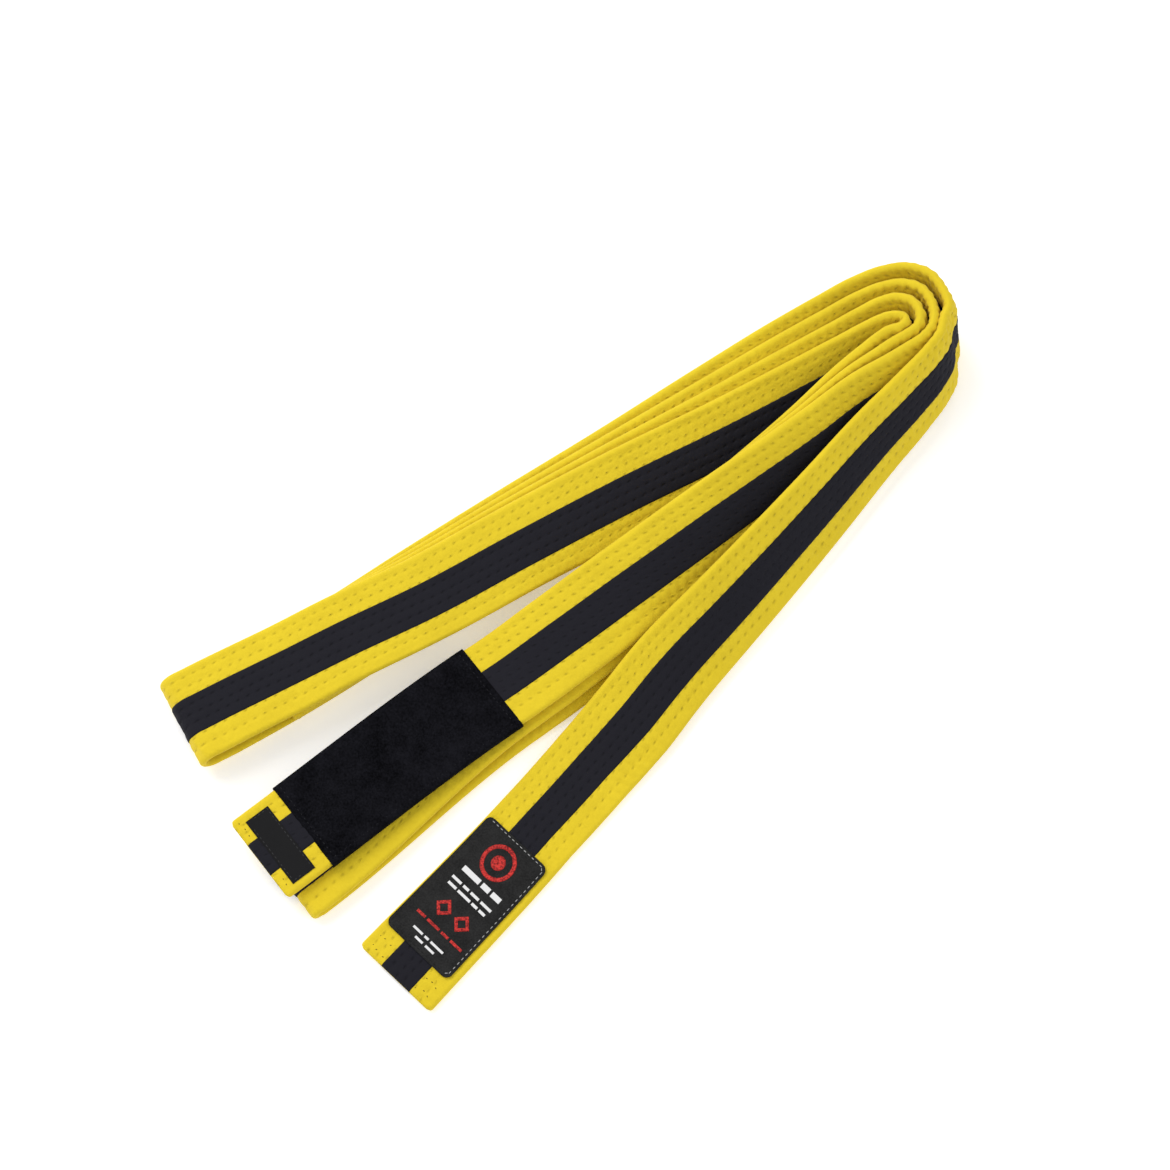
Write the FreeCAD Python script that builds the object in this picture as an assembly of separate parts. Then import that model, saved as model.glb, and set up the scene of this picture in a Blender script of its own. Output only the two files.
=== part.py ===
import FreeCAD, Part
import math
import os

# Martial arts belt, folded into a loose hank and laid on a table.
# Millimetres, +Z up.  The belt is one 2.8 m band.  It is described by four
# strands that lie side by side: strand 1 carries the patch, strand 2 carries
# the rank bar, strands 3 and 4 are the loops between them.

Vector = FreeCAD.Vector

# ------------------------------------------------------------ belt section
WIDTH = 39.0           # finished width of the belt
COVER = 0.6            # cotton cover cloth
PLY = 0.6              # one batting ply of the core
PLIES = 3
HALF_CORE = PLY * PLIES / 2.0
HALF_BODY = HALF_CORE + COVER
TAPE = 0.3             # centre stripe tape
HALF_ALL = HALF_BODY + TAPE
TAPE_FROM = 12.0       # centre stripe, measured from the top edge
TAPE_TO = 27.3
SEAM_FROM = 19.2       # the cover's raw edges meet under the back stripe
SEAM_TO = 19.8

# ------------------------------------------------------------ quilting rows
THREAD = 0.5           # width of a stitched row
THREAD_RISE = 0.15     # thread standing on the cover
TAPE_RISE = 0.10       # thread bedded in the stripe
ROWS = [3.7, 7.5, 11.6, 15.3, 19.4, 23.2, 27.7, 32.4]

# ------------------------------------------------------------ sewn-on parts
BAR_FROM = 21.7        # rank bar sleeve, measured from the bar tip
BAR_TO = 116.5
BAR_CLOTH = 0.6
BAR_SLACK = 0.10
LABEL_FROM = 4.9
LABEL_TO = 15.8
LABEL_EDGE = 4.0
LABEL_LENGTH = 31.8
LABEL_THICK = 0.4
PATCH_FROM = 13.5
PATCH_TO = 73.5
PATCH_EDGE = 1.0
PATCH_WIDTH = 34.6
PATCH_THICK = 0.8
PATCH_CORNER = 3.0
STITCH = 0.35          # width of the border stitching
STITCH_RISE = 0.1
EMBROIDERY = 0.15

BAR_STITCH_IN = 2.6      # from the sleeve's ends
BAR_STITCH_SIDE = 1.5    # from the belt's edges
PATCH_STITCH_IN = 1.2    # from the patch's edge
EMBLEM = (61.4, 18.0)    # centre: from the tip, from the top edge
EMBLEM_RADIUS = 7.8
EMBLEM_BAND = 1.8
EMBLEM_DISC = 3.2
MOTIF_IN = 33.6          # two small red diamonds
MOTIF_LEFT = 14.3
MOTIF_RIGHT = 24.4
MOTIF_RADIUS = 4.2
MOTIF_BAND = 1.8
# plain woven lines: from the tip, height, left end, right end
PATCH_LINES = [
    (50.6, 2.8, 8.4, 29.8),
    (45.2, 1.3, 7.5, 29.8),
    (42.3, 1.3, 8.0, 29.0),
    (25.7, 1.3, 7.0, 32.0),
    (20.0, 1.1, 10.5, 27.1),
    (17.4, 1.1, 14.0, 24.4),
]
END_ZIGZAGS = 5          # reinforcing stitches at each tip
END_SIDE = 3.0

# ------------------------------------------------------------ how it lies
# Stations along strands 2 to 4, from the left fold, round the loop at the
# top right, to the bar tip.  Top edge of strand 2 (x, y), top edge of
# strand 4 (x, y), lean of the width (1 flat, 0 on edge), direction the lower
# edge points (degrees), height of the lower edge of strands 2 and 4, and how
# far strand 3 sits from strand 2 (0) towards strand 4 (1).
STACK = [
    (-158, -38, -158, -38.5, 1.00, -62, 6.0, 14.4, 0.5),
    (-131, -23.5, -130.5, -24.5, 1.00, -62, 6.0, 14.4, 0.5),
    (-106, -9.5, -105, -11.5, 0.998, -62, 5.9, 14.0, 0.5),
    (-75, 9, -72.5, 4.5, 0.993, -62, 5.6, 13.0, 0.5),
    (-35, 33, -32, 27, 0.974, -62, 5.1, 11.6, 0.5),
    (6, 57, 10, 49.5, 0.945, -62, 4.6, 10.0, 0.5),
    (47, 81, 52.5, 71, 0.89, -62, 3.4, 6.6, 0.5),
    (80, 100, 85.5, 88.5, 0.80, -62, 2.1, 3.2, 0.5),
    (97, 109, 102, 97, 0.72, -61, 1.5, 1.7, 0.5),
    (111, 115.5, 113.2, 101.9, 0.59, -60, 1.2, 1.2, 0.49),
    (121, 118.4, 119.9, 104.0, 0.45, -58, 1.0, 1.0, 0.45),
    (130, 118.9, 124.8, 104.7, 0.33, -56, 0.8, 0.8, 0.44),
    (136, 116.7, 128.1, 104.1, 0.24, -53, 0.7, 0.7, 0.46),
    (140.4, 111.5, 130.2, 102.7, 0.24, -50, 0.7, 0.7, 0.48),
    (141.9, 105.8, 129.8, 100.7, 0.26, -50, 0.7, 0.7, 0.47),
    (141.2, 100.4, 127.4, 99.4, 0.305, -50, 0.8, 0.7, 0.45),
    (137.3, 95.6, 123.6, 98.7, 0.365, -50, 1.3, 0.7, 0.47),
    (131, 91.5, 118.9, 96.2, 0.445, -50, 2.3, 0.9, 0.5),
    (121.7, 85.7, 112.9, 91.8, 0.515, -51, 3.9, 1.1, 0.5),
    (111, 79.5, 105, 85.5, 0.56, -52, 5.2, 1.1, 0.5),
    (87, 61.5, 83.5, 65.5, 0.68, -53, 7.8, 1.3, 0.5),
    (46, 33, 46, 34, 0.84, -54, 10.3, 1.6, 0.5),
    (6, 5.5, 8, 3, 0.945, -54, 11.3, 1.8, 0.5),
    (-22, -13.5, -18.5, -18.5, 0.99, -53, 11.2, 1.9, 0.5),
    (-44, -28.3, -40.5, -33.5, 1.00, -52.3, 11.1, 1.8, 0.5),
    (-140.9, -103.4, -127.1, -107.5, 1.00, -52.3, 11.1, 1.8, 1.0),
]
JOIN = 15              # stations strand 1 shares with the others

# Strand 1 after the loop: top edge (x, y), lean, direction, lower edge height.
LEG = [
    (146.2, 103.6, 0.29, -50, 1.1),
    (144.4, 96.8, 0.36, -49, 1.7),
    (139.2, 89.6, 0.43, -48, 2.3),
    (130, 80.1, 0.50, -46, 2.3),
    (112, 62.5, 0.58, -43, 1.7),
    (87, 35.5, 0.67, -41, 1.4),
    (46, -6, 0.83, -42, 1.7),
    (22, -29, 0.93, -42, 2.3),
    (6.4, -47.3, 0.98, -42, 2.6),
    (-9.2, -65.6, 0.997, -42, 1.9),
    (-31, -90.3, 1.00, -43.8, 1.8),
    (-89, -150.9, 1.00, -43.8, 1.8),
]

FOLD_STEPS = 6         # facets round a turned-back fold
LEFT_RUN = 7.4
SHORT_RUN = 1.0
FLAT = 0.00000005         # four corners this close to a plane make one facet         # outer fold: straight run past the first station


# ================================================================ the route
def width_vector(lean, azimuth):
    """Unit vector from the top edge of the belt to its lower edge."""
    turn = math.radians(azimuth)
    drop = math.sqrt(max(0.0, 1.0 - lean * lean))
    return Vector(lean * math.cos(turn), lean * math.sin(turn), -drop)


def strand_stations():
    """Stations (top edge point, width vector) of the four strands."""
    first, second, third, fourth = [], [], [], []
    for x2, y2, x4, y4, lean, azimuth, low2, low4, share in STACK:
        across = width_vector(lean, azimuth)
        rise = -WIDTH * across.z
        top2 = Vector(x2, y2, low2 + rise)
        top4 = Vector(x4, y4, low4 + rise)
        top3 = top2 + (top4 - top2) * share
        top3.z = (top2.z + top4.z) / 2.0
        second.append((top2, across))
        third.append((top3, across))
        fourth.append((top4, across))
        if len(first) < JOIN:
            first.append((top2 * 1.5 - top4 * 0.5, across))
    for x, y, lean, azimuth, low in LEG:
        across = width_vector(lean, azimuth)
        first.append((Vector(x, y, low - WIDTH * across.z), across))
    return first, second, third, fourth


def fold_stations(start, end, outward, run):
    """Half-round turn between two flat strands lying one over the other."""
    radius = (end[0].z - start[0].z) / 2.0
    stations = []
    for step in range(FOLD_STEPS + 1):
        share = step / FOLD_STEPS
        angle = math.pi * share
        top = start[0] + (end[0] - start[0]) * share
        top = top + outward * (run + abs(radius) * math.sin(angle))
        top.z = start[0].z + radius * (1.0 - math.cos(angle))
        stations.append((top, start[1]))
    return stations


def belt_stations():
    """All stations from the patch tip to the bar tip."""
    first, second, third, fourth = strand_stations()
    left = Vector(-math.cos(math.radians(28)), -math.sin(math.radians(28)), 0)
    down = Vector(-math.cos(math.radians(37.7)), -math.sin(math.radians(37.7)), 0)
    route = list(reversed(first))
    route += fold_stations(first[0], fourth[0], left, LEFT_RUN)
    route += fourth
    route += fold_stations(fourth[-1], third[-1], down, SHORT_RUN)
    route += list(reversed(third[1:]))
    route += fold_stations(third[1], second[1], left, SHORT_RUN)
    route += second[1:]
    # one more station a cover's thickness inside each tip
    for _ in range(2):
        inward = (route[1][0] - route[0][0]).normalize()
        route.insert(1, (route[0][0] + inward * COVER, route[0][1]))
        route.reverse()
    return route


ROUTE = belt_stations()
COUNT = len(ROUTE)


def face_normals():
    """Unit normals of the belt's back face at every station."""
    middles = [top + across * (WIDTH / 2.0) for top, across in ROUTE]
    normals = []
    for index in range(COUNT):
        before = middles[max(0, index - 1)]
        after = middles[min(COUNT - 1, index + 1)]
        forward = (after - before).normalize()
        normals.append(forward.cross(ROUTE[index][1]).normalize())
    return normals


NORMALS = face_normals()


def place(index, across, high):
    """Point of the belt: station, distance from the top edge, height."""
    top, width = ROUTE[index]
    return top + width * across + NORMALS[index] * high


def ring(index, outline):
    """Corner points of one cross-section at one station."""
    return [place(index, across, high) for across, high in outline]


def facing(face, want):
    """The face, turned so that its normal agrees with a direction."""
    from_u, to_u, from_v, to_v = face.ParameterRange
    normal = face.normalAt((from_u + to_u) / 2.0, (from_v + to_v) / 2.0)
    if normal.dot(want) < 0:
        face.reverse()
    return face


def corner_face(points):
    return Part.Face(Part.makePolygon(points + points[:1]))


def side_face(first, second, third, fourth):
    """Flat or ruled face between two neighbouring sections."""
    normal = (second - first).cross(fourth - first).normalize()
    if abs((third - first).dot(normal)) < FLAT:
        face = corner_face([first, second, third, fourth])
    else:
        near = Part.makeLine(first, second)
        far = Part.makeLine(fourth, third)
        face = Part.makeRuledSurface(near, far)
    return facing(face, (third - first).cross(fourth - second))


def solid_through(rings):
    """Solid through a row of rings, with a ruled side for every edge."""
    start, end = rings[0], rings[-1]
    forward = (rings[1][0] - start[0])
    faces = [facing(corner_face(start), forward * -1.0)]
    forward = (end[0] - rings[-2][0])
    faces.append(facing(corner_face(end), forward))
    for near, far in zip(rings, rings[1:]):
        for corner in range(len(near)):
            after = (corner + 1) % len(near)
            faces.append(side_face(near[corner], near[after], far[after], far[corner]))
    return Part.Solid(Part.Shell(faces))


def strip(outline, start=0, end=COUNT - 1):
    """Solid following the belt with one constant section."""
    return solid_through([ring(index, outline) for index in range(start, end + 1)])


def box_outline(left, right, low, high):
    return [(left, low), (right, low), (right, high), (left, high)]


# ================================================================ cloth strips
def cover_solid():
    """Hollow cover: a slit tube closed by a thin wall at each tip."""
    core = HALF_CORE
    body = HALF_BODY
    outline = [
        (COVER, -core), (WIDTH - COVER, -core), (WIDTH - COVER, core),
        (SEAM_TO, core), (SEAM_TO, body), (WIDTH, body),
        (WIDTH, -body), (0, -body), (0, body),
        (SEAM_FROM, body), (SEAM_FROM, core), (COVER, core),
    ]
    tube = strip(outline, 1, COUNT - 2)
    full = box_outline(0, WIDTH, -body, body)
    walls = [strip(full, 0, 1), strip(full, COUNT - 2, COUNT - 1)]
    return tube.fuse(walls).Solids[0]


def ply_solid(number):
    low = -HALF_CORE + PLY * (number - 1)
    outline = box_outline(COVER, WIDTH - COVER, low, low + PLY)
    return strip(outline, 1, COUNT - 2)


def thread_solid(row):
    """Ribbon of one stitch row: along one face, over the tip and back."""
    on_tape = TAPE_FROM < row < TAPE_TO
    low = HALF_ALL if on_tape else HALF_BODY
    rise = TAPE_RISE if on_tape else THREAD_RISE
    left = row - THREAD / 2.0
    right = row + THREAD / 2.0
    outward = (ROUTE[0][0] - ROUTE[1][0]).normalize() * rise

    def across_ring(index, side):
        """Section on one face, mitred where it turns over the tip."""
        lift = outward if index == 0 else Vector(0, 0, 0)
        inner = side * low
        outer = side * (low + rise)
        return [
            place(index, left, inner), place(index, right, inner),
            place(index, right, outer) + lift, place(index, left, outer) + lift,
        ]

    rings = [across_ring(index, 1.0) for index in range(COUNT - 1, -1, -1)]
    rings += [across_ring(index, -1.0) for index in range(COUNT)]
    return solid_through(rings)


# ================================================================ sewn-on pieces
def tip_frame(tip):
    """Corner point, inward, across and outward-from-face directions."""
    index, inner = (0, 2) if tip == "patch" else (COUNT - 1, COUNT - 3)
    corner = ROUTE[index][0]
    inward = (ROUTE[inner][0] - corner).normalize()
    face = NORMALS[index] * (-1.0 if tip == "patch" else 1.0)
    return corner, inward, ROUTE[index][1], face


def plate(tip, outline, low, high, holes=()):
    """Flat plate on a tip's face from (inward, across) outlines."""
    corner, inward, across, face = tip_frame(tip)

    def flat(points):
        spots = []
        for along, side in points:
            spots.append(corner + inward * along + across * side + face * low)
        return Part.Face(Part.makePolygon(spots + spots[:1]))

    area = flat(outline)
    for hole in holes:
        area = area.cut(flat(hole))
    return area.extrude(face * (high - low)).Solids[0]


def rounded(from_in, to_in, left, right, radius, steps=5):
    """Outline of a rectangle with rounded corners."""
    centres = [
        (to_in - radius, right - radius, 0),
        (from_in + radius, right - radius, 90),
        (from_in + radius, left + radius, 180),
        (to_in - radius, left + radius, 270),
    ]
    points = []
    for along, side, begin in centres:
        for step in range(steps + 1):
            angle = math.radians(begin + 90.0 * step / steps)
            points.append((along + radius * math.cos(angle),
                           side + radius * math.sin(angle)))
    return points


def round_outline(along, side, radius, steps=24):
    points = []
    for step in range(steps):
        angle = 2.0 * math.pi * step / steps
        points.append((along + radius * math.cos(angle),
                       side + radius * math.sin(angle)))
    return points


def bar(from_in, to_in, left, right):
    return [(from_in, left), (to_in, left), (to_in, right), (from_in, right)]


def sleeve_solid():
    """Black sleeve wrapped round the belt near the bar tip."""
    corner, inward, across, face = tip_frame("bar")
    start = corner + inward * BAR_FROM
    inner_high = HALF_ALL + TAPE_RISE

    def ring(grow, high):
        spots = []
        for side, rise in box_outline(-grow, WIDTH + grow, -high, high):
            spots.append(start + across * side + face * rise)
        return Part.Face(Part.makePolygon(spots + spots[:1]))

    area = ring(BAR_SLACK + BAR_CLOTH, inner_high + BAR_CLOTH)
    area = area.cut(ring(BAR_SLACK, inner_high))
    return area.extrude(inward * (BAR_TO - BAR_FROM)).Solids[0]


def sleeve_stitching():
    """Three-sided stitch line on the sleeve's visible face."""
    low = HALF_ALL + TAPE_RISE + BAR_CLOTH
    near = BAR_FROM + BAR_STITCH_IN
    far = BAR_TO - BAR_STITCH_IN
    left = BAR_STITCH_SIDE
    right = WIDTH - BAR_STITCH_SIDE
    wide = STITCH
    outline = [
        (near, left), (near, right), (far, right), (far, left),
        (far - wide, left), (far - wide, right - wide),
        (near + wide, right - wide), (near + wide, left),
    ]
    return plate("bar", outline, low, low + STITCH_RISE)


def end_stitching(tip, near, far):
    """Zigzag of reinforcing stitches close to a tip."""
    low = HALF_ALL + TAPE_RISE
    upper = []
    lower = []
    steps = END_ZIGZAGS * 2
    for step in range(steps + 1):
        side = END_SIDE + (WIDTH - 2 * END_SIDE) * step / steps
        along = near if step % 2 == 0 else far
        upper.append((along + STITCH, side))
        lower.append((along, side))
    outline = upper + list(reversed(lower))
    return plate(tip, outline, low, low + STITCH_RISE)


# ================================================================ assembly
surface = HALF_ALL + TAPE_RISE
shapes = {"cover_fabric": cover_solid()}
for number in range(1, PLIES + 1):
    shapes["core_ply_%d" % number] = ply_solid(number)
shapes["stripe_tape_front"] = strip(
    box_outline(TAPE_FROM, TAPE_TO, -HALF_ALL, -HALF_BODY))
shapes["stripe_tape_back"] = strip(
    box_outline(TAPE_FROM, TAPE_TO, HALF_BODY, HALF_ALL))
for number, row in enumerate(ROWS, start=1):
    shapes["quilting_thread_%d" % number] = thread_solid(row)

shapes["rank_bar_sleeve"] = sleeve_solid()
shapes["rank_bar_stitching"] = sleeve_stitching()

label_top = surface + LABEL_THICK
label_sides = (LABEL_EDGE, LABEL_EDGE + LABEL_LENGTH)
shapes["tip_label"] = plate(
    "bar", bar(LABEL_FROM, LABEL_TO, *label_sides), surface, label_top)
shapes["tip_label_stitching"] = plate(
    "bar",
    bar(LABEL_FROM + 1.0, LABEL_TO - 1.0, label_sides[0] + 1.0, label_sides[1] - 1.0),
    label_top, label_top + STITCH_RISE,
    [bar(LABEL_FROM + 1.35, LABEL_TO - 1.35,
         label_sides[0] + 1.35, label_sides[1] - 1.35)])

patch_top = surface + PATCH_THICK
patch_box = (PATCH_FROM, PATCH_TO, PATCH_EDGE, PATCH_EDGE + PATCH_WIDTH)


def patch_ring(inset):
    """Outline parallel to the patch edge."""
    low_in, high_in, left, right = patch_box
    return rounded(low_in + inset, high_in - inset, left + inset,
                   right - inset, PATCH_CORNER - inset)


shapes["patch"] = plate("patch", patch_ring(0.0), surface, patch_top)
shapes["patch_stitching"] = plate(
    "patch", patch_ring(PATCH_STITCH_IN), patch_top, patch_top + STITCH_RISE,
    [patch_ring(PATCH_STITCH_IN + STITCH)])

motif_top = patch_top + EMBROIDERY
shapes["patch_emblem_ring"] = plate(
    "patch", round_outline(*EMBLEM, EMBLEM_RADIUS), patch_top, motif_top,
    [round_outline(*EMBLEM, EMBLEM_RADIUS - EMBLEM_BAND)])
shapes["patch_emblem_disc"] = plate(
    "patch", round_outline(*EMBLEM, EMBLEM_DISC), patch_top, motif_top)
for side, name in ((MOTIF_LEFT, "patch_motif_left"), (MOTIF_RIGHT, "patch_motif_right")):
    shapes[name] = plate(
        "patch", round_outline(MOTIF_IN, side, MOTIF_RADIUS, 4), patch_top, motif_top,
        [round_outline(MOTIF_IN, side, MOTIF_RADIUS - MOTIF_BAND, 4)])
for number, line in enumerate(PATCH_LINES, start=1):
    middle, height, left, right = line
    outline = bar(middle - height / 2.0, middle + height / 2.0, left, right)
    shapes["patch_line_%d" % number] = plate("patch", outline, patch_top, motif_top)

shapes["end_stitching_patch_tip"] = end_stitching("patch", 2.5, 9.5)
shapes["end_stitching_bar_tip"] = end_stitching("bar", 1.5, 4.3)

# the belt rests on the ground plane, centred over the origin
whole = FreeCAD.BoundBox()
for shape in shapes.values():
    whole.add(shape.BoundBox)
shift = Vector(-whole.Center.x, -whole.Center.y, -whole.ZMin)

os.makedirs("parts", exist_ok=True)
for name, shape in shapes.items():
    shape.translate(shift)
    shape.exportStep("parts/%s.step" % name)
    print(name, shape.isValid(), len(shape.Faces), round(shape.Volume, 1))
print("size", whole.XLength, whole.YLength, whole.ZLength, "shift", shift)
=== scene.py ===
import math

import bpy
import numpy as np
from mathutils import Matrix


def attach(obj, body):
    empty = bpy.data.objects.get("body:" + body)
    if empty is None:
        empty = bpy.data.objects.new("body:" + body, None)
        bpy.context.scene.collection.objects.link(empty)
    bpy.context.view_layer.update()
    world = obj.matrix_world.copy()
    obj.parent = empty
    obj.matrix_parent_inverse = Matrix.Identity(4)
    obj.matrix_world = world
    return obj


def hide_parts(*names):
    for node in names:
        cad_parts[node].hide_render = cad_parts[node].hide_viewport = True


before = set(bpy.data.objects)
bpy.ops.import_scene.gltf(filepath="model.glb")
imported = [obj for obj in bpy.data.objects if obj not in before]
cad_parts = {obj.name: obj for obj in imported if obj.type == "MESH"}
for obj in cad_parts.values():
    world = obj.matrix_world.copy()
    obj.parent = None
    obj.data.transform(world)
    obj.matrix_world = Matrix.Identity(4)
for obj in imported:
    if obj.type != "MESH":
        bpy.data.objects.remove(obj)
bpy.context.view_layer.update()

# ---------------------------------------------------------------- sizes, mm
WIDTH = 39.0
HALF = 1.62                 # half the belt's thickness between stitch rows
EDGE = 1.9                  # how far the thickness takes to round off at an edge
PITCH = 4.5                 # distance between stitches along a row
STEP = PITCH / 6.0          # mesh step along the belt
# the eight stitch rows: place across the belt, how deep each draws the cloth in,
# and how far along its first stitch comes
ROWS = [3.7, 7.5, 11.6, 15.3, 19.4, 23.2, 27.7, 32.4]
ROW_DEPTH = [0.42, 0.26, 0.26, 0.18, 0.19, 0.18, 0.28, 0.42]
ROW_SHIFT = [1.1, 2.0, 3.7, 4.2, 5.9, 7.3, 8.0, 9.9]
WANDER = ((17.0, 1, 0.18), (5.0, 2, 0.12))   # wave length, phase per row, size
SLANT = 0.3                 # how far a crease runs along for each mm across
TAPE = (11.95, 27.35)       # the stripe's two edges across the belt
TAPE_LIFT = 0.15            # how far the tape stands on the cover
TIP_CORNER = 1.8            # radius of a tip's corners
BEYOND = 14.0               # a narrowed belt shrinks towards a line this far past its top edge
TUCK_FROM = 27.0            # where the tucked lower edge starts
SHIFT = (7.7387, 25.2288, 0.1)   # from the route's own origin to the frame's
UV_SCALE = 100.0            # mm of belt for each unit of the map
THREAD_PITCH = 0.62         # one over-and-under of the weave

# ---------------------------------------------------------------- the route
# x, y of layer 2's top edge; x, y of layer 4's; lean; azimuth of the width;
# clearance under layers 2 and 4; share of layer 3; bow of the section; share of
# the full width; how far the lower edge tucks under
STACK = [
    (-158, -38, -158, -38.5, 1, -62, 6, 14.4, 0.5, 0, 1, 0.3),
    (-131, -23.5, -130.5, -24.5, 1, -62, 6, 14.4, 0.5, 0, 0.99, 0.7),
    (-106, -9.5, -105, -11.5, 0.998, -62, 5.9, 14, 0.5, 0.2, 0.985, 1.6),
    (-75, 9, -72.5, 4.5, 0.993, -62, 5.6, 13, 0.5, 0.3, 0.98, 2.2),
    (-35, 33, -32, 27, 0.974, -62, 5.1, 11.6, 0.5, 0.3, 0.975, 2.2),
    (6, 57, 10, 49.5, 0.945, -62, 4.6, 10, 0.5, 0.3, 0.97, 1.6),
    (47, 81, 52.5, 71, 0.89, -62, 3.4, 6.6, 0.5, 0.3, 0.97, 0.8),
    (80, 100, 85.5, 88.5, 0.8, -62, 2.1, 3.2, 0.5, 0.3, 0.98, 0.3),
    (97, 109, 102, 97, 0.72, -61, 1.5, 1.7, 0.5, 0.2, 0.99, 0),
    (111, 115.5, 113.2, 101.9, 0.59, -60, 1.2, 1.2, 0.49, 0, 1, 0),
    (121, 118.4, 119.9, 104, 0.45, -58, 1, 1, 0.45, 0, 1, 0),
    (130, 118.9, 124.8, 104.7, 0.33, -56, 0.8, 0.8, 0.44, 0, 1, 0),
    (136, 116.7, 128.1, 104.1, 0.24, -53, 0.7, 0.7, 0.46, 0, 1, 0),
    (140.4, 111.5, 130.2, 102.7, 0.24, -50, 0.7, 0.7, 0.48, 0.3, 1, 0),
    (141.9, 105.8, 129.8, 100.7, 0.26, -50, 0.7, 0.7, 0.47, 0.5, 1, 0),
    (141.2, 100.4, 127.4, 99.4, 0.305, -50, 0.8, 0.7, 0.45, 0.9, 1, 0),
    (137.3, 95.6, 123.6, 98.7, 0.365, -50, 1.3, 0.7, 0.47, 1.3, 1, 0),
    (131, 91.5, 118.9, 96.2, 0.445, -50, 2.3, 0.9, 0.5, 1.7, 1, 0),
    (121.7, 85.7, 112.9, 91.8, 0.515, -51, 3.9, 1.1, 0.5, 2, 1, 0),
    (111, 79.5, 105, 85.5, 0.56, -52, 5.2, 1.1, 0.5, 2.2, 1, 0),
    (87, 61.5, 83.5, 65.5, 0.68, -53, 7.8, 1.3, 0.5, 2.1, 0.98, 0),
    (46, 33, 46, 34, 0.84, -54, 10.3, 1.6, 0.5, 1.3, 0.97, 0),
    (6, 5.5, 8, 3, 0.945, -54, 11.3, 1.8, 0.5, 0.7, 0.97, 0),
    (-22, -13.5, -18.5, -18.5, 0.99, -53, 11.2, 1.9, 0.5, 0.3, 0.98, 0),
    (-44, -28.3, -40.5, -33.5, 1, -52.3, 11.1, 1.8, 0.5, 0, 1, 0),
    (-140.9, -103.4, -127.1, -107.5, 1, -52.3, 11.1, 1.8, 1, 0, 1, 0),
]
JOIN = 15                   # rows of STACK that layer 1 follows
LOOP_HEADING = 28.0         # direction of the layers where the left folds turn
BAR_FOLD_HEADING = 37.7     # the same at the fold under the bar tip
# layer 1 after the bend: x, y, lean, azimuth, clearance, bow, width share, tuck
LEG = [
    (146.2, 103.6, 0.29, -50, 1.1, 0.2, 0.97, 0),
    (144.4, 96.8, 0.36, -49, 1.7, 0.3, 0.95, 0),
    (139.2, 89.6, 0.43, -48, 2.3, 0.4, 0.93, 0),
    (130, 80.1, 0.5, -46, 2.3, 0.5, 0.92, 0),
    (112, 62.5, 0.58, -43, 1.7, 0.6, 0.925, 0),
    (87, 35.5, 0.67, -41, 1.4, 0.6, 0.93, 0),
    (46, -6, 0.83, -42, 1.7, 0.5, 0.95, 0.5),
    (22, -29, 0.93, -42, 2.3, 0.3, 0.97, 0.9),
    (6.4, -47.3, 0.98, -42, 2.6, 0.2, 0.965, 0.8),
    (-9.2, -65.6, 0.997, -42, 1.9, 0.1, 0.935, 0.2),
    (-31, -90.3, 1, -43.8, 1.8, 0, 0.93, 0),
    (-89, -150.9, 1, -43.8, 1.8, 0, 1, 0),
]


def width_vectors(lean, azimuth):
    """Unit vectors across the belt, from its top edge to its lower edge."""
    turn = np.radians(azimuth)
    drop = np.sqrt(np.clip(1.0 - lean * lean, 0.0, 1.0))
    return np.column_stack([lean * np.cos(turn), lean * np.sin(turn), -drop])


def fold(start, end, across, heading, run, steps):
    """Half-round turn between two flat layers, as rows like those of belt_rows."""
    radius = (end[2] - start[2]) / 2.0
    way = math.radians(heading)
    out = np.array([-math.cos(way), -math.sin(way), 0.0])
    rows = []
    for step in range(steps + 1):
        share = step / steps
        angle = math.pi * share
        top = start + (end - start) * share + out * (run + abs(radius) * math.sin(angle))
        top[2] = start[2] + radius * (1.0 - math.cos(angle))
        rows.append(np.concatenate([top, across, [0.0, 1.0, 0.3]]))
    return np.array(rows)


def belt_rows():
    """Sparse rows (top edge point, width vector, bow, share, tuck), patch tip first."""
    stack = np.array(STACK, float)
    across = width_vectors(stack[:, 4], stack[:, 5])
    rise = -WIDTH * across[:, 2]
    soft = stack[:, 9:12]
    second = np.column_stack([stack[:, 0], stack[:, 1], stack[:, 6] + rise])
    fourth = np.column_stack([stack[:, 2], stack[:, 3], stack[:, 7] + rise])
    third = second + (fourth - second) * stack[:, 8:9]
    third[:, 2] = (second[:, 2] + fourth[:, 2]) / 2.0
    # layer 1 lies outside layer 2 by half the way from layer 4 to layer 2
    first = 1.5 * second - 0.5 * fourth
    leg = np.array(LEG, float)
    leg_across = width_vectors(leg[:, 2], leg[:, 3])
    leg_top = np.column_stack([leg[:, 0], leg[:, 1], leg[:, 4] - WIDTH * leg_across[:, 2]])
    one = np.vstack([
        np.hstack([first, across, soft])[:JOIN],
        np.hstack([leg_top, leg_across, leg[:, 5:8]]),
    ])
    two = np.hstack([second, across, soft])
    three = np.hstack([third, across, soft])
    four = np.hstack([fourth, across, soft])
    return np.vstack([
        one[::-1],
        fold(one[0, :3], four[0, :3], across[0], LOOP_HEADING, run=7.4, steps=10),
        four,
        fold(four[-1, :3], three[-1, :3], across[-1], BAR_FOLD_HEADING, run=1.0, steps=8),
        three[1:][::-1],
        fold(three[1, :3], two[1, :3], across[1], LOOP_HEADING, run=1.0, steps=8),
        two[1:],
    ])


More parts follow.
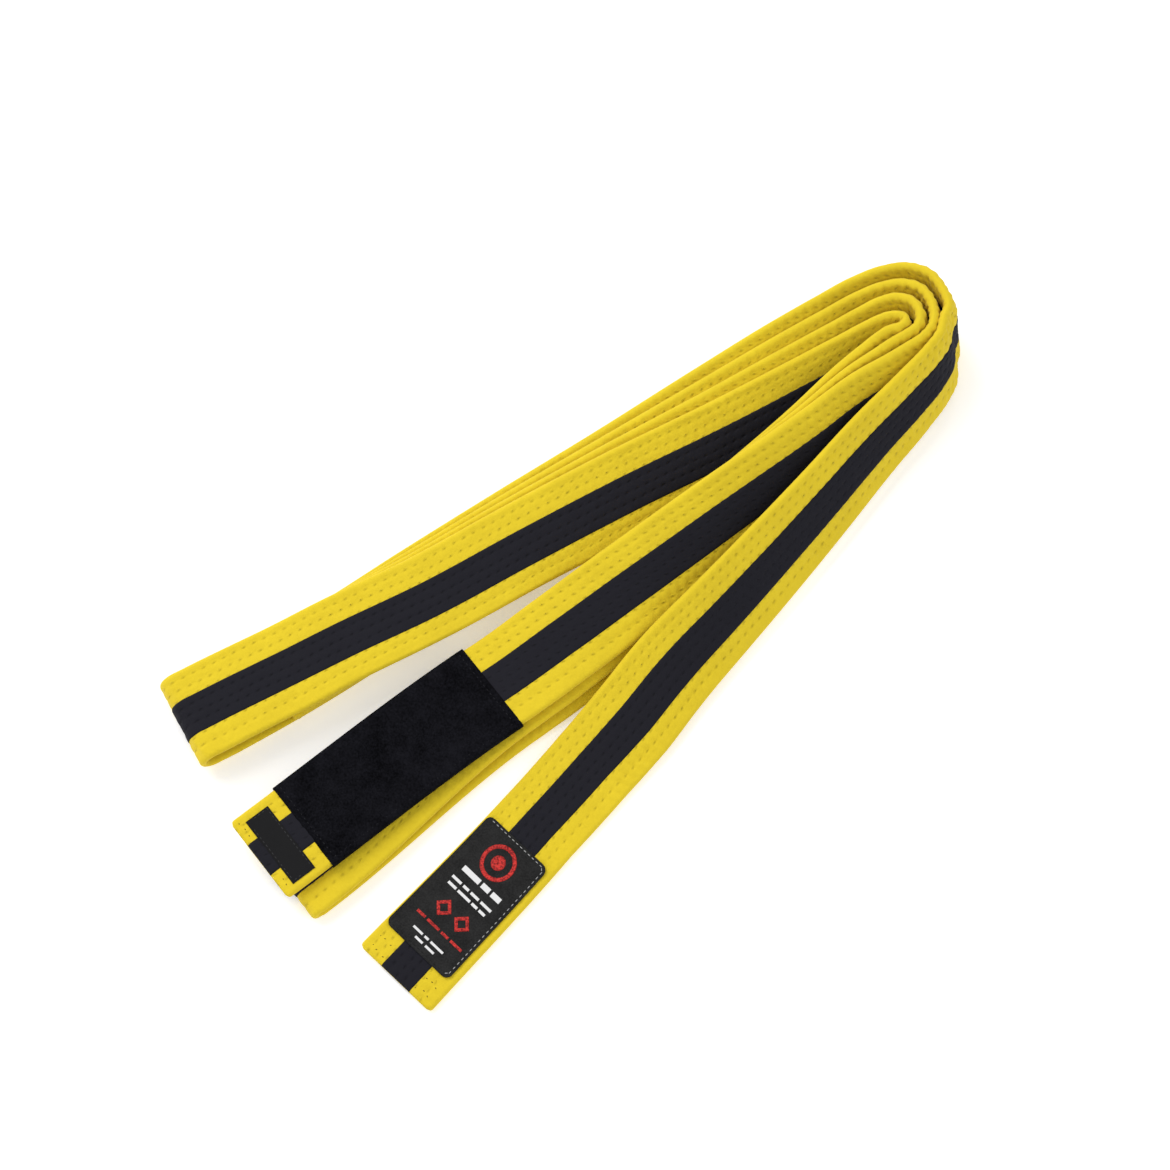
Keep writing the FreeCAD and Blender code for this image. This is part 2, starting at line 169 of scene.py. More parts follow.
def smooth_rows(rows, step):
    """Rows at even steps along the belt, on a smooth curve through the sparse ones."""
    middle = rows[:, :3] + rows[:, 3:6] * WIDTH / 2.0
    along = np.concatenate([[0.0], np.cumsum(np.linalg.norm(np.diff(middle, axis=0), axis=1))])
    gap = np.diff(along)
    slope = np.diff(rows, axis=0) / gap[:, None]
    tangent = np.empty_like(rows)
    tangent[0] = slope[0]
    tangent[-1] = slope[-1]
    before = gap[:-1, None]
    after = gap[1:, None]
    tangent[1:-1] = (after * slope[:-1] + before * slope[1:]) / (before + after)
    # heights never swing past the rows they pass through
    for column in (2, 5):
        one = slope[:-1, column]
        two = slope[1:, column]
        same = one * two > 0.0
        total = np.where(same, one + two, 1.0)
        tangent[1:-1, column] = np.where(same, 2.0 * one * two / total, 0.0)
    at = np.linspace(0.0, along[-1], int(along[-1] / step) + 1)
    index = np.clip(np.searchsorted(along, at, side="right") - 1, 0, len(gap) - 1)
    width = gap[index][:, None]
    t = ((at - along[index]) / gap[index])[:, None]
    left = rows[index]
    right = rows[index + 1]
    smooth = (2 * t**3 - 3 * t**2 + 1) * left + (t**3 - 2 * t**2 + t) * width * tangent[index]
    smooth += (-2 * t**3 + 3 * t**2) * right + (t**3 - t**2) * width * tangent[index + 1]
    smooth[:, 3:6] /= np.linalg.norm(smooth[:, 3:6], axis=1)[:, None]
    # bow, share and tuck change evenly from row to row
    for column in (6, 7, 8):
        smooth[:, column] = np.interp(at, along, rows[:, column])
    return at, smooth


ALONG, PATH = smooth_rows(belt_rows(), STEP)
TOP = PATH[:, :3] + np.array(SHIFT)
ACROSS = PATH[:, 3:6]
LENGTH = ALONG[-1]
middle = TOP + ACROSS * WIDTH / 2.0
forward = np.gradient(middle, axis=0)
NORMAL = np.cross(forward, ACROSS)
NORMAL /= np.linalg.norm(NORMAL, axis=1)[:, None]
# the section bows upwards, whichever face is up there, and changes over slowly
BOW = PATH[:, 6] * np.sign(NORMAL[:, 2])
BOW = np.convolve(np.pad(BOW, 6, mode="edge"), np.ones(13) / 13.0, mode="valid")
# 1 where the belt stands up and turns, 0 where it lies flat
LEAN = np.sqrt(np.clip(1.0 - PATH[:, 5] ** 2, 0.0, 1.0))
TIGHT = np.clip((0.62 - LEAN) / 0.3, 0.0, 1.0)


def place(u, v, h):
    """Points in metres from distances along, across and above the middle, in mm."""
    u, v, h = np.broadcast_arrays(u, v, h)
    at = np.clip(u / ALONG[1], 0, len(ALONG) - 1.0001)
    low = at.astype(int)
    t = (at - low)[..., None]

    def take(values):
        return values[low] * (1 - t) + values[low + 1] * t

    lift = BOW[low] * 4.0 * v * (WIDTH - v) / WIDTH**2
    share = PATH[low, 7]
    tuck = PATH[low, 8] * np.clip((v - TUCK_FROM) / (WIDTH - TUCK_FROM), 0.0, 1.0)
    across = v * share - BEYOND * (1.0 - share) - tuck
    base = take(TOP) + take(ACROSS) * across[..., None]
    return (base + take(NORMAL) * (h + lift)[..., None]) / 1000.0


def ripple(u, v, seed):
    """Slow unevenness of the cloth, in mm."""
    total = np.sin(u / 11.0 + v / 7.0 + seed) * 0.05
    total += np.sin(u / 5.3 - v / 4.1 + 2.2 * seed) * 0.035
    total += np.sin(u / 23.0 + 1.3 * seed) * 0.06
    return total + np.sin(u / 3.1 + v / 2.2 + 0.7 * seed) * 0.02


def to_stitch(u, shift):
    """Signed distance along the belt to the nearest stitch of a row, in mm."""
    return (u - shift + PITCH / 2.0) % PITCH - PITCH / 2.0


def row_line(u, row):
    """Where a stitch row really runs, with the wander of hand-fed cloth."""
    line = row
    for length, phase, size in WANDER:
        line = line + size * np.sin(u / length + phase * row)
    return line


def face_height(u, v, side):
    """Height of a face of the cover above the belt's middle, in mm."""
    inset = np.minimum(v, WIDTH - v)
    tight = np.interp(u, ALONG, TIGHT)
    round_off = np.clip(1.0 - inset / EDGE, 0.0, 1.0)
    height = HALF * np.sqrt(np.clip(1.0 - round_off**2, 0.0, 1.0))
    seed = 1.7 if side > 0 else 4.9
    inner = np.clip(inset / 2.5, 0, 1)
    quilt = ripple(u, v, seed) * inner
    for row, depth, shift in zip(ROWS, ROW_DEPTH, ROW_SHIFT):
        near = np.exp(-((v - row_line(u, row)) / 0.8) ** 2)
        pull = np.exp(-(to_stitch(u, shift) / 1.15) ** 2)
        uneven = 0.75 + 0.25 * np.sin(u / 6.1 + 3.1 * row + seed)
        quilt = quilt - depth * near * (0.45 + 0.75 * pull * uneven)
    # creases from stitch to stitch across the yellow margins
    margin = np.clip((np.abs(v - 19.6) - 8.5) / 2.0, 0.3, 1.0) * inner
    crease = np.exp(-(to_stitch(u, SLANT * v + 0.8) / 0.95) ** 2)
    patchy = np.clip(0.5 + 0.75 * np.sin(u / 13.7 + seed) * np.sin(u / 31.0 + v / 9.0), 0.08, 1.0)
    quilt = quilt - 0.4 * crease * margin * patchy
    # faint waves between the creases, stronger on some stretches
    waves = np.cos(2 * np.pi * (u + 0.3 * v + 0.8 * np.sin(u / 8.3)) / 3.9)
    quilt = quilt + 0.06 * waves * margin * np.clip(0.5 + np.sin(u / 43.0 + seed), 0.0, 1.0)
    # gathered cloth where the belt turns, and a fuller top edge there
    gather = np.cos(2 * np.pi * (u + 0.35 * v + 0.7 * np.sin(u / 4.7)) / 3.3)
    quilt = quilt + 0.3 * tight * margin * gather
    quilt = quilt + tight * np.exp(-((v - 9.0) / 7.5) ** 2) * np.clip(inset / 1.5, 0, 1)
    # both faces close in over the last of each tip
    tip = np.minimum(u, LENGTH - u)
    close = np.sqrt(np.clip(1.0 - np.clip(1.0 - tip / 1.6, 0, 1) ** 2, 0.05, 1.0))
    return (height + quilt) * close


def tip_inset(u):
    """How far the edges draw in at the rounded corners of a tip, in mm."""
    tip = np.clip(np.minimum(u, LENGTH - u), 0.0, TIP_CORNER)
    return TIP_CORNER - np.sqrt(np.clip(TIP_CORNER**2 - (TIP_CORNER - tip) ** 2, 0.0, None))


# ---------------------------------------------------------------- mesh helpers
def mesh_object(name, points, quads, material, uv=None, smooth=True):
    """Object from corner points in metres and four-cornered faces."""
    points = np.asarray(points, np.float32).reshape(-1, 3)
    quads = np.asarray(quads, np.int32).reshape(-1, 4)
    mesh = bpy.data.meshes.new(name)
    mesh.vertices.add(len(points))
    mesh.vertices.foreach_set("co", points.ravel())
    mesh.loops.add(quads.size)
    mesh.loops.foreach_set("vertex_index", quads.ravel())
    mesh.polygons.add(len(quads))
    mesh.polygons.foreach_set("loop_start", np.arange(0, quads.size, 4, dtype=np.int32))
    mesh.update(calc_edges=True)
    if uv is not None:
        layer = mesh.uv_layers.new(name="belt")
        corners = np.asarray(uv, np.float32).reshape(-1, 2)[quads.ravel()]
        layer.data.foreach_set("uv", corners.ravel())
    mesh.polygons.foreach_set("use_smooth", np.full(len(quads), smooth))
    mesh.validate()
    piece = bpy.data.objects.new(name, mesh)
    bpy.context.scene.collection.objects.link(piece)
    mesh.materials.append(material)
    return piece


def grid_quads(rows, columns, closed=False):
    """Faces of a grid of points; closed joins the last column to the first."""
    index = np.arange(rows * columns).reshape(rows, columns)
    if closed:
        index = np.concatenate([index, index[:, :1]], axis=1)
    quads = np.stack([index[:-1, :-1], index[:-1, 1:], index[1:, 1:], index[1:, :-1]], axis=-1)
    return quads.reshape(-1, 4)


def repeated(quads, count, points_each):
    """The same faces again for each of count equal runs of points."""
    offsets = np.arange(count) * points_each
    return (quads[None] + offsets[:, None, None]).reshape(-1, 4)


def sheet_uv(u, v):
    """Map of the cloth in its own flat measures."""
    return np.stack([u / UV_SCALE, v / UV_SCALE], axis=-1)


def across_columns():
    """Distances across the belt, closer together near the two edges."""
    turn = np.linspace(0, math.pi / 2, 7)
    start = EDGE * (1 - np.cos(turn))
    inner = np.linspace(EDGE, WIDTH - EDGE, 46)[1:-1]
    return np.concatenate([start, inner, (WIDTH - start)[::-1]])


# ---------------------------------------------------------------- materials
class Nodes:
    """Small helper that adds shader nodes to one material."""

    def __init__(self, name):
        self.material = bpy.data.materials.new(name)
        self.material.use_nodes = True
        self.tree = self.material.node_tree
        self.shader = self.tree.nodes["Principled BSDF"]

    def add(self, kind, **values):
        node = self.tree.nodes.new(kind)
        for key, value in values.items():
            setattr(node, key, value)
        return node

    def link(self, output, target):
        self.tree.links.new(output, target)

    def math(self, operation, first, second=None, third=None):
        """Output of a sum on numbers or other outputs."""
        node = self.add("ShaderNodeMath", operation=operation)
        for socket, value in zip(node.inputs, (first, second, third)):
            if value is None:
                continue
            if isinstance(value, (int, float)):
                socket.default_value = value
            else:
                self.link(value, socket)
        return node.outputs[0]

    def mix(self, factor, first, second):
        """Colour between two, each a tuple or another output."""
        node = self.add("ShaderNodeMix", data_type="RGBA")
        self.link(factor, node.inputs[0])
        for socket, value in ((node.inputs[6], first), (node.inputs[7], second)):
            if isinstance(value, tuple):
                socket.default_value = (*value, 1.0)
            else:
                self.link(value, socket)
        return node.outputs[2]

    def noise(self, scale, detail, vector, rough=0.6):
        node = self.add("ShaderNodeTexNoise")
        node.inputs["Scale"].default_value = scale
        node.inputs["Detail"].default_value = detail
        node.inputs["Roughness"].default_value = rough
        self.link(vector, node.inputs["Vector"])
        return node.outputs["Fac"]

    def bump(self, height, strength, distance, under=None):
        node = self.add("ShaderNodeBump")
        node.inputs["Strength"].default_value = strength
        node.inputs["Distance"].default_value = distance
        self.link(height, node.inputs["Height"])
        if under is not None:
            self.link(under, node.inputs["Normal"])
        return node.outputs["Normal"]


def linear(red, green, blue):
    """Linear colour from an sRGB one given in 0 to 255."""
    out = []
    for value in (red, green, blue):
        share = value / 255.0
        out.append(share / 12.92 if share <= 0.04045 else ((share + 0.055) / 1.055) ** 2.4)
    return tuple(out)


def stitch_dimples(nodes, u, v, rows):
    """1 in the middle of every stitch of the rows and 0 away from them."""
    dimples = None
    for row, shift in rows:
        centre = row
        for length, phase, size in WANDER:
            wave = nodes.math("SINE", nodes.math("MULTIPLY_ADD", u, 1 / length, phase * row))
            centre = nodes.math("MULTIPLY_ADD", wave, size, centre)
        side = nodes.math("SUBTRACT", v, centre)
        beat = nodes.math("MULTIPLY", nodes.math("SUBTRACT", u, shift), 1 / PITCH)
        beat = nodes.math("FRACT", nodes.math("ADD", beat, 100.5))
        beat = nodes.math("MULTIPLY", nodes.math("SUBTRACT", beat, 0.5), PITCH)
        slant = nodes.math("MULTIPLY_ADD", side, 0.55, beat)
        reach = nodes.math("POWER", nodes.math("DIVIDE", slant, 0.85), 2.0)
        spread = nodes.math("POWER", nodes.math("DIVIDE", side, 0.5), 2.0)
        fall = nodes.math("EXPONENT", nodes.math("MULTIPLY", nodes.math("ADD", reach, spread), -1.0))
        dimples = fall if dimples is None else nodes.math("MAXIMUM", dimples, fall)
    return dimples


def quilted(name, colour, shade, rows, rough, sheen, weave, relief=1.0):
    """Cloth with stitch dimples worked out from the distance along and across; the dimples are darkened
    with painted shade.
    """
    nodes = Nodes(name)
    belt_map = nodes.add("ShaderNodeUVMap", uv_map="belt")
    split = nodes.add("ShaderNodeSeparateXYZ")
    nodes.link(belt_map.outputs[0], split.inputs[0])
    u = nodes.math("MULTIPLY", split.outputs[0], UV_SCALE)
    v = nodes.math("MULTIPLY", split.outputs[1], UV_SCALE)
    dimples = stitch_dimples(nodes, u, v, rows)
    coordinates = nodes.add("ShaderNodeTexCoord").outputs["Object"]
    patchy = nodes.noise(55.0, 4.0, coordinates)
    grain = nodes.noise(900.0, 2.0, coordinates)
    base = nodes.mix(nodes.math("MULTIPLY", patchy, 0.55), colour, shade)
    base = nodes.mix(nodes.math("MULTIPLY", grain, 0.22), base, shade)
    # painted shade: the stitch dimples are darkened towards half the shade colour
    dimple_shade = tuple(0.5 * part for part in shade)
    base = nodes.mix(nodes.math("MULTIPLY", dimples, 0.28), base, dimple_shade)
    nodes.link(base, nodes.shader.inputs["Base Color"])
    threads = nodes.math("SINE", nodes.math("MULTIPLY", u, 2 * math.pi / THREAD_PITCH))
    cross = nodes.math("SINE", nodes.math("MULTIPLY", v, 2 * math.pi / THREAD_PITCH))
    cloth = nodes.math("MULTIPLY", threads, cross)
    cloth = nodes.math("MULTIPLY_ADD", grain, 2.0, cloth)
    normal = nodes.bump(cloth, weave, 0.00006)
    crumple = nodes.noise(150.0, 3.0, coordinates, 0.55)
    normal = nodes.bump(crumple, 0.6, 0.0014 * relief, normal)
    normal = nodes.bump(nodes.math("MULTIPLY", dimples, -1.0), 0.8, 0.00045 * relief, normal)
    nodes.link(normal, nodes.shader.inputs["Normal"])
    nodes.shader.inputs["Roughness"].default_value = rough
    nodes.shader.inputs["Specular IOR Level"].default_value = 0.12
    nodes.shader.inputs["Sheen Weight"].default_value = sheen
    nodes.shader.inputs["Sheen Roughness"].default_value = 0.5
    return nodes.material


def plain_cloth(name, colour, shade, rough, fine, fine_depth,
                coarse=160.0, coarse_depth=0.0004, contrast=1.0, specular=0.25):
    """Cloth or thread with a fine grain and a coarser unevenness; on the bar felt the lighter patches
    are painted sheen.
    """
    nodes = Nodes(name)
    coordinates = nodes.add("ShaderNodeTexCoord").outputs["Object"]
    grain = nodes.noise(fine, 3.0, coordinates)
    lumps = nodes.noise(coarse, 3.0, coordinates)
    mixed = nodes.math("MULTIPLY_ADD", grain, 0.6, nodes.math("MULTIPLY", lumps, 0.5))
    mixed = nodes.math("MULTIPLY_ADD", nodes.math("SUBTRACT", mixed, 0.55), contrast, 0.5)
    mixed = nodes.math("MINIMUM", nodes.math("MAXIMUM", mixed, 0.0), 1.0)
    base = nodes.mix(mixed, colour, shade)
    nodes.link(base, nodes.shader.inputs["Base Color"])
    normal = nodes.bump(grain, 0.7, fine_depth)
    normal = nodes.bump(lumps, 0.4, coarse_depth, normal)
    nodes.link(normal, nodes.shader.inputs["Normal"])
    nodes.shader.inputs["Roughness"].default_value = rough
    nodes.shader.inputs["Specular IOR Level"].default_value = specular
    return nodes.material


def thread(name, colour, shade, rough=0.6):
    """Sewing thread; the quilting, tip and dark patch stitches take the painted shade of their stitch
    holes as colour.
    """
    return plain_cloth(name, linear(*colour), linear(*shade), rough, fine=2500, fine_depth=0.00005)


ALL_ROWS = list(zip(ROWS, ROW_SHIFT))
TAPE_ROWS = ALL_ROWS[3:6]   # the rows that run on the stripe
cotton = quilted(
    "cotton yellow", linear(238, 211, 46), linear(204, 176, 36), ALL_ROWS,
    rough=0.9, sheen=0.08, weave=0.6)
tape_cloth = quilted(
    "tape black", linear(31, 31, 38), linear(28, 27, 33), TAPE_ROWS,
    rough=0.8, sheen=0.0, weave=0.5, relief=0.9)
# painted shade: the quilting and tip stitch colours, dark olive and near black, stand for the shade in
# the stitch holes
hole_shade_yellow = thread("thread yellow in painted hole shade", (120, 100, 24), (84, 70, 18), 0.8)
hole_shade_black = thread("thread black in painted hole shade", (14, 14, 17), (8, 8, 10), 0.7)
bar_thread = thread("bar thread", (30, 30, 36), (20, 20, 24))
label_thread = thread("label thread", (58, 58, 60), (40, 40, 42))
grey_thread = thread("grey thread", (176, 176, 176), (140, 140, 140))
# painted shade: the near and left stitches of the patch seam are dark for the shade in their holes
painted_shade_thread = thread("patch thread in painted hole shade", (12, 12, 12), (8, 8, 8), 0.7)
# painted sheen: the lighter patches of the felt, (24, 24, 29) over (4, 4, 6), stand for sheen on its
# nap
felt = plain_cloth(
    "bar felt with painted sheen", linear(4, 4, 6), linear(24, 24, 29), 0.95, fine=1300, fine_depth=0.0003,
    coarse=75, coarse_depth=0.0006, contrast=3.5, specular=0.05)
label_cloth = plain_cloth(
    "label cloth", linear(24, 24, 25), linear(31, 31, 32), 0.8, fine=1800, fine_depth=0.00008,
    specular=0.1)
patch_cloth = plain_cloth(
    "patch cloth", linear(22, 22, 22), linear(40, 40, 40), 0.75, fine=1500, fine_depth=0.0002,
    contrast=4.0, specular=0.15)
red_thread = plain_cloth(
    "red embroidery", linear(214, 52, 46), linear(112, 10, 14), 0.6, fine=1500, fine_depth=0.0003,
    coarse=900, coarse_depth=0.0003, contrast=5.0)
white_print = plain_cloth(
    "white print", linear(238, 238, 238), linear(214, 214, 214), 0.6, fine=2200, fine_depth=0.00008)


def own(piece, material_slot, *nodes):
    """Every piece rides on the one body and stands for its CAD nodes."""
    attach(piece, "root")
    if nodes:
        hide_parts(*nodes)
    return piece


# ---------------------------------------------------------------- cover
COLUMNS = across_columns()
U_GRID = ALONG[:, None]


def tip_strips(row, per_ring, turned):
    """Strips that close the tube at one tip, from the upper face to the lower."""
    base = row * per_ring
    half = len(COLUMNS)
    strips = []
    for column in range(half - 1):
        first = base + column
        second = base + column + 1
        third = base + (per_ring - column - 1 if column + 1 < half - 1 else half - 1)
        fourth = base + (per_ring - column if column > 0 else 0)
        if turned:
            corners = (first, fourth, third, second)
        else:
            corners = (first, second, third, fourth)
        if len(set(corners)) == 4:
            strips.append(corners)
    return strips


def cover_piece():
    """Closed tube of yellow cotton, quilted on both faces."""
    half_span = WIDTH / 2.0 - tip_inset(ALONG)[:, None]
    v_upper = WIDTH / 2.0 + (COLUMNS[None, :] - WIDTH / 2.0) * (half_span / (WIDTH / 2.0))
    v_lower = v_upper[:, ::-1][:, 1:-1]
    upper = place(U_GRID, v_upper, face_height(U_GRID, COLUMNS[None, :], 1.0))
    lower = place(U_GRID, v_lower, -face_height(U_GRID, COLUMNS[::-1][None, 1:-1], -1.0))
    points = np.concatenate([upper, lower], axis=1)
    v = np.concatenate([v_upper, v_lower], axis=1)
    per_ring = points.shape[1]
    quads = grid_quads(len(ALONG), per_ring, closed=True)
    strips = tip_strips(0, per_ring, False) + tip_strips(len(ALONG) - 1, per_ring, True)
    uv = sheet_uv(np.broadcast_to(U_GRID, v.shape), v)
    piece = mesh_object("belt_cover", points, np.vstack([quads, strips]), cotton, uv)
    return own(piece, "cotton_yellow", "cover_fabric", "core_ply_1", "core_ply_2", "core_ply_3")


cover = cover_piece()


# ---------------------------------------------------------------- stripes
def stripe(node, side):
    """Black tape along one face, its two edges turned down onto the cover."""
    v = np.linspace(TAPE[0], TAPE[1], 26)
    v = np.concatenate([[TAPE[0]], v, [TAPE[1]]])
    lift = np.full(len(v), TAPE_LIFT)
    lift[[0, -1]] = -0.25
    lift[[1, -2]] = 0.06
    height = face_height(U_GRID, v[None, :], side) + lift[None, :]
    points = place(U_GRID, v[None, :], side * height)
    shape = points.shape[:2]
    uv = sheet_uv(np.broadcast_to(U_GRID, shape), np.broadcast_to(v, shape))
    piece = mesh_object(node + "_cloth", points, grid_quads(*shape), tape_cloth, uv)
    own(piece, "tape_black", node)


stripe("stripe_tape_front", -1.0)
stripe("stripe_tape_back", 1.0)


# ---------------------------------------------------------------- stitches
def dashes(name, spots, material, material_slot, length, wide, high, nodes=()):
    """Low rounded dashes; spots are rows of (u, v, side, direction in u, in v, base)."""
    spots = np.asarray(spots, float)
    turn = np.linspace(0, 2 * math.pi, 9)[:-1]
    rings = []
    # each dash narrows from a sunk foot to a point at its top
    for scale, rise in ((1.0, -0.12), (0.86, 0.75 * high), (0.02, high)):
        x = np.cos(turn)[None, :] * length / 2.0 * scale
        y = np.sin(turn)[None, :] * wide / 2.0 * scale
        in_u = spots[:, 3:4]
        in_v = spots[:, 4:5]
        u = spots[:, 0:1] + x * in_u - y * in_v
        v = spots[:, 1:2] + x * in_v + y * in_u
        rings.append(place(u, v, spots[:, 2:3] * (spots[:, 5:6] + rise)))
    points = np.stack(rings, axis=1)
    count, levels, corners = points.shape[:3]
    quads = repeated(grid_quads(levels, corners, closed=True), count, levels * corners)
    piece = mesh_object(name, points, quads, material)
    return own(piece, material_slot, *nodes)


def quilting_row(number, row, shift):
    """The leaning stitches of one row, on both faces."""
    on_tape = TAPE[0] < row < TAPE[1]
    u = np.arange(shift + PITCH, LENGTH - 3.0, PITCH)
    v = row_line(u, row)
    lean = 0.42 + 0.25 * np.sin(u * 1.7 + row)
    spots = []
    for side in (-1.0, 1.0):
        base = face_height(u, v, side) + (TAPE_LIFT if on_tape else 0.0)
        spots.append(np.column_stack([u, v, np.full(len(u), side), np.cos(lean), -np.sin(lean), base]))
    # each dash is coloured with the painted shade of its stitch hole
    dashes(
        "quilting_stitches_%d" % number, np.vstack(spots), hole_shade_black if on_tape else hole_shade_yellow,
        "thread_black" if on_tape else "thread_yellow", length=0.62, wide=0.30, high=0.03,
        nodes=["quilting_thread_%d" % number])


for number, (row, shift) in enumerate(ALL_ROWS, start=1):
    quilting_row(number, row, shift)

# ---------------------------------------------------------------- rank bar
BAR = (21.7, 116.5)         # the sleeve's two ends, from the bar tip
BAR_OVER = 0.4              # how far it stands past the belt's edges
BAR_SEAM = 2.6              # from each end to its seam
BAR_SIDE_SEAM = 1.9         # from the belt's lower edge to the long seam
BAR_HALF = 1.85             # half its thickness at the edges


def bar_height(u, v, side):
    """Height of the sleeve above the belt's middle, in mm."""
    inset = np.minimum(v + BAR_OVER, WIDTH + BAR_OVER - v)
    near_end = np.minimum(LENGTH - BAR[0] - u, u - (LENGTH - BAR[1]))
    height = 2.35 + 0.09 * np.sin(u / 7.0 + v / 5.0) + 0.07 * np.sin(u / 3.7 - v / 6.0 + side)
    height = height - 0.55 * np.exp(-np.clip(near_end, 0, None) / 0.5)
    height = height - 0.22 * np.exp(-((near_end - BAR_SEAM) / 0.6) ** 2)
    height = height - 0.3 * np.exp(-((v - (WIDTH - BAR_SIDE_SEAM)) / 0.6) ** 2)
    return height - 0.35 * np.exp(-inset / 0.9)


def rank_bar():
    """Black felt sleeve around the belt, its ends turned in."""
    u = (LENGTH - np.linspace(BAR[0], BAR[1], 130))[:, None]
    v = np.linspace(-BAR_OVER, WIDTH + BAR_OVER, 60)
    turn = np.linspace(-math.pi / 2, math.pi / 2, 9)[1:-1]
    bulge = BAR_OVER + 0.45 * np.cos(turn)
    loop_v = np.concatenate([v, WIDTH + bulge, v[::-1], -bulge])[None, :]
    upper = bar_height(u, v[None, :], 1.0)
    lower = -bar_height(u, v[None, ::-1], -1.0)
    edge = BAR_HALF * np.sin(turn)[None, :] * np.ones_like(u)
    height = np.concatenate([upper, -edge, lower, edge], axis=1)
    points = np.concatenate([
        place(u[:1], loop_v, height[:1] * 0.55),
        place(u, loop_v, height),
        place(u[-1:], loop_v, height[-1:] * 0.55),
    ])
    piece = mesh_object("rank_bar_cloth", points, grid_quads(*points.shape[:2], closed=True), felt)
    own(piece, "bar_felt", "rank_bar_sleeve")


def rank_bar_stitches():
    """A seam across each end of the sleeve and one along its lower edge."""
    spots = []
    for v in np.arange(1.8, WIDTH - 1.5, 2.2):
        for end in (BAR[0] + BAR_SEAM, BAR[1] - BAR_SEAM):
            u = LENGTH - end
            spots.append((u, v, 1.0, 0.0, 1.0, bar_height(u, v, 1.0)))
    v = WIDTH - BAR_SIDE_SEAM
    for end in np.arange(BAR[0] + 3.4, BAR[1] - BAR_SEAM, 2.3):
        u = LENGTH - end
        spots.append((u, v, 1.0, 1.0, 0.0, bar_height(u, v, 1.0)))
    dashes("rank_bar_stitches", spots, bar_thread, "thread_black", length=1.6, wide=0.4, high=0.08,
           nodes=["rank_bar_stitching"])


rank_bar()
rank_bar_stitches()


# ---------------------------------------------------------------- label and patch
def plate(name, box, base, thick, side, material, material_slot, node,
          radius=0.0, from_end=False, wave=0.0):
    """Thin sewn-on plate; box is (from, to) along from a tip and (left, right) across."""
    low, high, left, right = box
    step = 0.7
    near = np.array([0.0])
    if radius:
        near = np.concatenate([[0, 0.12, 0.3, 0.6], np.arange(1.0, radius, 0.5)])
    between = np.arange(low + radius + step, high - radius, step)
    rows = np.unique(np.clip(np.concatenate([low + near, between, high - near]), low, high))
    # round corners: the sides draw in over the last radius of each end
    edge = np.minimum(rows - low, high - rows)
    arc = np.sqrt(np.clip(radius**2 - (radius - edge) ** 2, 0, None))
    cut = np.where(edge < radius, radius - arc, 0.0)
    share = np.linspace(0, 1, max(8, int((right - left) / step)))
    v = left + cut[:, None] + share[None, :] * (right - left - 2 * cut)[:, None]
    u = np.broadcast_to(rows[:, None], v.shape)
    depth = np.minimum(np.minimum(u - low, high - u), np.minimum(v - left, right - v))
    top = base + thick - 0.3 * np.clip(1 - depth / 0.8, 0, 1) ** 2
    top = top + wave * np.sin(u / 5.0 + v / 7.0)
    real = LENGTH - u if from_end else u
    upper = place(real, v, side * top)
    skirt = place(real, v, side * (base - 0.5) * np.ones_like(v))
    # a wall hangs from the outline into the cloth below
    index = np.arange(v.size).reshape(v.shape)
    loop = np.concatenate([index[0, :], index[1:, -1], index[-1, -2::-1], index[-2:0:-1, 0]])
    foot = v.size + np.arange(len(loop))
    wall = np.column_stack([loop, np.roll(loop, -1), np.roll(foot, -1), foot])
    points = np.vstack([upper.reshape(-1, 3), skirt.reshape(-1, 3)[loop]])
    piece = mesh_object(name, points, np.vstack([grid_quads(*v.shape), wall]), material)
    own(piece, material_slot, node)


LABEL = (4.9, 15.8, 4.0, 35.8)      # from the bar tip, and across
LABEL_BASE = 1.75
LABEL_THICK = 0.45
LABEL_SEAM = 0.9


def label_stitches():
    """Seam around the small label."""
    low, high, left, right = LABEL
    base = LABEL_BASE + LABEL_THICK - 0.01
    spots = []
    for v in np.arange(5.0, 35.0, 2.0):
        for end in (low + LABEL_SEAM, high - LABEL_SEAM):
            spots.append((LENGTH - end, v, 1.0, 0.0, 1.0, base))
    for end in np.arange(6.9, 14.4, 2.0):
        for v in (left + LABEL_SEAM, right - LABEL_SEAM):
            spots.append((LENGTH - end, v, 1.0, 1.0, 0.0, base))
    dashes("tip_label_stitches", spots, label_thread, "label_thread", length=1.3, wide=0.35, high=0.05,
           nodes=["tip_label_stitching"])


plate("tip_label_cloth", LABEL, LABEL_BASE, LABEL_THICK, 1.0, label_cloth, "label_cloth",
      "tip_label", from_end=True, wave=0.05)
label_stitches()

PATCH = (13.5, 73.5, 1.0, 35.6)     # from the patch tip, and across
PATCH_BASE = 1.85
PATCH_THICK = 0.8
PATCH_TOP = PATCH_BASE + PATCH_THICK
PATCH_SEAM = 1.2
PATCH_PITCH = 2.4


def line_spots(u0, v0, u1, v1):
    """Evenly spaced dashes on the patch between two points."""
    length = math.hypot(u1 - u0, v1 - v0)
    count = round(length / PATCH_PITCH)
    spots = []
    for step in range(count + 1):
        t = step / count
        spots.append((u0 + (u1 - u0) * t, v0 + (v1 - v0) * t, -1.0,
                      (u1 - u0) / length, (v1 - v0) / length, PATCH_TOP))
    return spots


